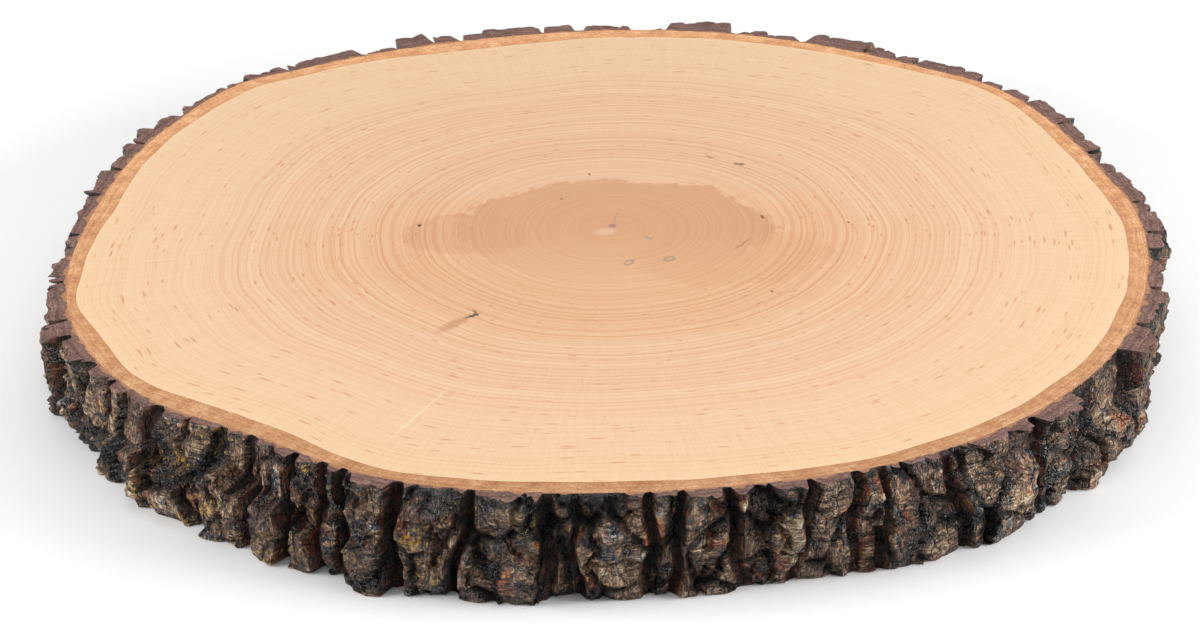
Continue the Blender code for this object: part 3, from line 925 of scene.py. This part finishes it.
warp = add_node(
    relief, "ShaderNodeTexNoise", {"Vector": place, "Scale": 1 / 5, "Detail": 3.0}, output="Color"
)
warp = add_node(relief, "ShaderNodeVectorMath", {0: warp, 1: (0.5, 0.5, 0.5)}, operation="SUBTRACT")
warped = add_node(
    relief, "ShaderNodeVectorMath", {0: warp, 1: (2.2, 2.2, 2.2), 2: place}, operation="MULTIPLY_ADD"
)
plate_place = add_node(
    relief, "ShaderNodeVectorMath", {0: warped, 1: (1.0, 1.0, 0.7)}, operation="MULTIPLY"
)

# Smooth swings either side of nought: how the place is stretched, size, detail, swing, and depth.
total = 0.0
for stretch, size, detail, swing, depth in (
    ((1.0, 1.0, 1.0), 13.0, 2.0, 2.4, "Lump height"),
    ((1.0, 1.0, 0.3), 2.0, 3.0, 2.6, "Grain depth"),
):
    noise = add_node(relief, "ShaderNodeVectorMath", {0: warped, 1: stretch}, operation="MULTIPLY")
    noise = add_node(relief, "ShaderNodeTexNoise", {"Vector": noise, "Scale": 1 / size, "Detail": detail})
    noise = add_node(relief, "ShaderNodeMath", {0: noise, 1: 0.5}, operation="SUBTRACT")
    noise = add_node(relief, "ShaderNodeMath", {0: noise, 1: swing}, operation="MULTIPLY")
    noise = add_node(relief, "ShaderNodeMath", {0: noise, 1: given[depth]}, operation="MULTIPLY")
    total = add_node(relief, "ShaderNodeMath", {0: total, 1: noise}, operation="ADD")

# Broken faces: each cell of the pattern is a chip that leans its own way and stands at its own
# height, so the bark breaks from one to the next along a sharp edge.
for chip_size, chip_lean, chip_step in ((14.0, 0.6, 1.5), (6.0, 0.5, 0.3)):
    cell = add_node(
        relief, "ShaderNodeTexVoronoi", {"Vector": plate_place, "Scale": 1 / chip_size}, output="Position"
    )
    lean_way = add_node(
        relief, "ShaderNodeVectorMath", {0: cell.node.outputs["Color"], 1: (0.5, 0.5, 0.5)},
        operation="SUBTRACT",
    )
    from_middle = add_node(relief, "ShaderNodeVectorMath", {0: plate_place, 1: cell}, operation="SUBTRACT")
    leaning = add_node(
        relief, "ShaderNodeVectorMath", {0: from_middle, 1: lean_way}, operation="DOT_PRODUCT",
        output="Value",
    )
    chip = add_node(relief, "ShaderNodeSeparateXYZ", {0: lean_way}, output="X")
    chip = add_node(relief, "ShaderNodeMath", {0: chip, 1: chip_step}, operation="MULTIPLY")
    chip = add_node(relief, "ShaderNodeMath", {0: leaning, 1: chip_lean, 2: chip}, operation="MULTIPLY_ADD")
    total = add_node(
        relief, "ShaderNodeMath", {0: chip, 1: given["Chip depth"], 2: total}, operation="MULTIPLY_ADD"
    )

# Layers: the cork comes away in sheets, and their broken edges run mostly across the strips.
LAYER_COUNT = 7.0
layers = add_node(relief, "ShaderNodeVectorMath", {0: warped, 1: (0.35, 0.35, 1.2)}, operation="MULTIPLY")
layers = add_node(
    relief, "ShaderNodeTexNoise", {"Vector": layers, "Scale": 1 / 9, "Detail": 3.0, "Roughness": 0.5}
)
layers = add_node(relief, "ShaderNodeMath", {0: layers, 1: LAYER_COUNT}, operation="MULTIPLY")
whole_layers = add_node(relief, "ShaderNodeMath", {0: layers}, operation="FLOOR")
layer_edge = add_node(relief, "ShaderNodeMath", {0: layers}, operation="FRACT")
layer_edge = add_node(
    relief, "ShaderNodeMapRange", {"Value": layer_edge, "From Min": 0.72, "From Max": 1.0}
)
layers = add_node(relief, "ShaderNodeMath", {0: whole_layers, 1: layer_edge}, operation="ADD")
layers = add_node(relief, "ShaderNodeMath", {0: layers, 1: LAYER_COUNT / 2}, operation="SUBTRACT")
total = add_node(
    relief, "ShaderNodeMath", {0: layers, 1: given["Layer step"], 2: total}, operation="MULTIPLY_ADD"
)

# Cracks: narrow clefts between cells the size of a plate, and only in places.
cracks = add_node(
    relief, "ShaderNodeTexVoronoi", {"Vector": plate_place, "Scale": 1 / 14},
    feature="DISTANCE_TO_EDGE", output="Distance",
)
cracks = add_node(relief, "ShaderNodeMapRange", {"Value": cracks, "From Min": 0.09, "From Max": 0.0})
somewhere = add_node(relief, "ShaderNodeTexNoise", {"Vector": place, "Scale": 1 / 20, "Detail": 1.0})
somewhere = add_node(relief, "ShaderNodeMapRange", {"Value": somewhere, "From Min": 0.4, "From Max": 0.5})
cracks = add_node(relief, "ShaderNodeMath", {0: cracks, 1: somewhere}, operation="MULTIPLY")
crack_cut = add_node(relief, "ShaderNodeMath", {0: cracks, 1: given["Crack depth"]}, operation="MULTIPLY")
total = add_node(relief, "ShaderNodeMath", {0: total, 1: crack_cut}, operation="SUBTRACT")

# Edge wear: next to the two saw cuts the plates have crumbled back, most of all along the upper
# cut at the front of the trunk, and less than half as much along the lower one.
UPPER_WEAR_REACH = 5.5 * MM
LOWER_WEAR_REACH = 4.0 * MM
radial = add_node(
    relief, "ShaderNodeVectorMath", {0: plain_place, 1: (1.0, 1.0, 0.0)}, operation="MULTIPLY"
)
radial = add_node(relief, "ShaderNodeVectorMath", {0: radial}, operation="NORMALIZE")
to_front = add_node(
    relief, "ShaderNodeVectorMath", {0: radial, 1: (0.0, -1.0, 0.0)},
    operation="DOT_PRODUCT", output="Value",
)
wear_share = add_node(
    relief, "ShaderNodeMapRange", {"Value": to_front, "From Min": 0.78, "From Max": 0.92, "To Min": 0.06}
)
height_here = add_node(relief, "ShaderNodeSeparateXYZ", {0: plain_place}, output="Z")
from_top = add_node(relief, "ShaderNodeMath", {0: THICKNESS, 1: height_here}, operation="SUBTRACT")
from_face = add_node(relief, "ShaderNodeMath", {0: from_top, 1: height_here}, operation="MINIMUM")
upper_wear = add_node(
    relief, "ShaderNodeMapRange", {"Value": from_top, "From Min": UPPER_WEAR_REACH, "From Max": 0.0}
)
upper_wear = add_node(relief, "ShaderNodeMath", {0: upper_wear, 1: upper_wear}, operation="MULTIPLY")
upper_wear = add_node(relief, "ShaderNodeMath", {0: upper_wear, 1: wear_share}, operation="MULTIPLY")
lower_wear = add_node(
    relief, "ShaderNodeMapRange",
    {"Value": height_here, "From Min": LOWER_WEAR_REACH, "From Max": 0.0, "To Max": 0.4},
)
crumbled = add_node(
    relief, "ShaderNodeTexNoise", {"Vector": place, "Scale": 1 / 7, "Detail": 3.0, "Roughness": 0.6}
)
crumbled = add_node(
    relief, "ShaderNodeMapRange", {"Value": crumbled, "From Min": 0.36, "From Max": 0.62, "To Min": 0.35}
)
worn = add_node(relief, "ShaderNodeMath", {0: upper_wear, 1: lower_wear}, operation="ADD")
worn = add_node(relief, "ShaderNodeMath", {0: worn, 1: crumbled}, operation="MULTIPLY")
worn = add_node(relief, "ShaderNodeMath", {0: worn, 1: given["Edge wear"]}, operation="MULTIPLY")
total = add_node(relief, "ShaderNodeMath", {0: total, 1: worn}, operation="SUBTRACT")

floor_share = add_node(relief, "ShaderNodeMapRange", {"Value": rise_here, "To Min": 0.3, "To Max": 1.0})
total = add_node(relief, "ShaderNodeMath", {0: total, 1: floor_share}, operation="MULTIPLY")
over_after = add_node(relief, "ShaderNodeMath", {0: over_before, 1: total}, operation="ADD")
over_after = add_node(relief, "ShaderNodeMath", {0: over_after, 1: LEAST_BARK}, operation="MAXIMUM")
outward = add_node(relief, "ShaderNodeMath", {0: over_after, 1: over_before}, operation="SUBTRACT")

# The chips also stand a little aside and up from where they grew, except at the saw cuts.
sidelong = add_node(
    relief, "ShaderNodeVectorMath", {0: radial, 1: (0.0, 0.0, 1.0)}, operation="CROSS_PRODUCT"
)
shift = add_node(
    relief, "ShaderNodeTexNoise", {"Vector": warped, "Scale": 1 / 3, "Detail": 2.0}, output="Color"
)
shift = add_node(relief, "ShaderNodeVectorMath", {0: shift, 1: (0.5, 0.5, 0.5)}, operation="SUBTRACT")
shift = add_node(relief, "ShaderNodeVectorMath", {0: shift, 1: lean_way}, operation="ADD")
inside = add_node(relief, "ShaderNodeMapRange", {"Value": from_face, "From Min": 0.0, "From Max": 1.5 * MM})
inside = add_node(relief, "ShaderNodeMath", {0: given["Side shift"], 1: inside}, operation="MULTIPLY")
shift = add_node(relief, "ShaderNodeVectorMath", {0: shift, "Scale": inside}, operation="SCALE")
shift = add_node(relief, "ShaderNodeSeparateXYZ", {0: shift})
aside = add_node(relief, "ShaderNodeMath", {0: shift, 1: 2.0}, operation="MULTIPLY")
move = add_node(relief, "ShaderNodeVectorMath", {0: radial, "Scale": outward}, operation="SCALE")
move_aside = add_node(relief, "ShaderNodeVectorMath", {0: sidelong, "Scale": aside}, operation="SCALE")
move_up = add_node(relief, "ShaderNodeCombineXYZ", {"Z": shift.node.outputs["Y"]})
for part in (move_aside, move_up):
    move = add_node(relief, "ShaderNodeVectorMath", {0: move, 1: part}, operation="ADD")

RELIEF_PAINTED_LIGHT = 120.0  # a crest's painted highlight and a hollow's painted shade, per metre of its height
on_wall = add_node(relief, "FunctionNodeCompare", {0: on_wall, 1: 0.5}, operation="GREATER_THAN")
geometry = add_node(
    relief, "GeometryNodeSetPosition", {"Geometry": given["Slice"], "Selection": on_wall, "Offset": move}
)
# The relief and the cracks go to the bark material, which paints a highlight on the crests and painted
# shade in the hollows and cracks from them.
relief_for_painted_light = add_node(relief, "ShaderNodeMath", {0: total, 1: RELIEF_PAINTED_LIGHT}, operation="MULTIPLY")
for name, value in (("relief", relief_for_painted_light), ("crack", cracks), ("over_bark", over_after)):
    geometry = add_node(
        relief, "GeometryNodeStoreNamedAttribute",
        {"Geometry": geometry, "Selection": on_wall, "Name": name, "Value": value},
        data_type="FLOAT", domain="POINT",
    )
trunk_place = add_node(relief, "GeometryNodeInputPosition")
trunk_place = add_node(relief, "ShaderNodeVectorMath", {0: trunk_place, "Scale": 1 / MM}, operation="SCALE")
geometry = add_node(
    relief, "GeometryNodeStoreNamedAttribute",
    {"Geometry": geometry, "Name": "trunk_place", "Value": trunk_place},
    data_type="FLOAT_VECTOR", domain="POINT",
)
geometry = add_node(relief, "GeometryNodeRealizeInstances", {"Geometry": geometry})
for number, material in enumerate((weathered_bark, sawn_bark, inner_bark, end_grain)):
    chosen = add_node(
        relief, "FunctionNodeCompare", {2: tissue_here, 3: number}, operation="EQUAL", data_type="INT"
    )
    geometry = add_node(
        relief, "GeometryNodeSetMaterial",
        {"Geometry": geometry, "Selection": chosen, "Material": material},
    )
add_node(relief, "NodeGroupOutput", {"Slice": geometry})

rough_slice = bpy.data.objects.new("rough_slice", rough_mesh)
bpy.context.scene.collection.objects.link(rough_slice)
carving = rough_slice.modifiers.new("bark_relief", "NODES")
carving.node_group = relief
for name, size in RELIEF_SIZES.items():
    carving[relief_socket[name]] = size
carving[relief_socket["Seed"]] = 3.0

# The carved mesh takes the rough one's place, with the trunk's middle moved to where it belongs.
SHARP_EDGE = math.radians(14)  # faces that meet at more than this show an edge between them
evaluated = bpy.context.evaluated_depsgraph_get()
slice_mesh = bpy.data.meshes.new_from_object(
    rough_slice.evaluated_get(evaluated), preserve_all_data_layers=True, depsgraph=evaluated
)
bpy.data.objects.remove(rough_slice)
slice_mesh.transform(Matrix.Translation(trunk_shift))
slice_mesh.shade_smooth()
slice_mesh.set_sharp_from_angle(angle=SHARP_EDGE)
wood_slice = bpy.data.objects.new("wood_slice_grown", slice_mesh)
bpy.context.scene.collection.objects.link(wood_slice)
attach(wood_slice, "root")
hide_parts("wood_slice")
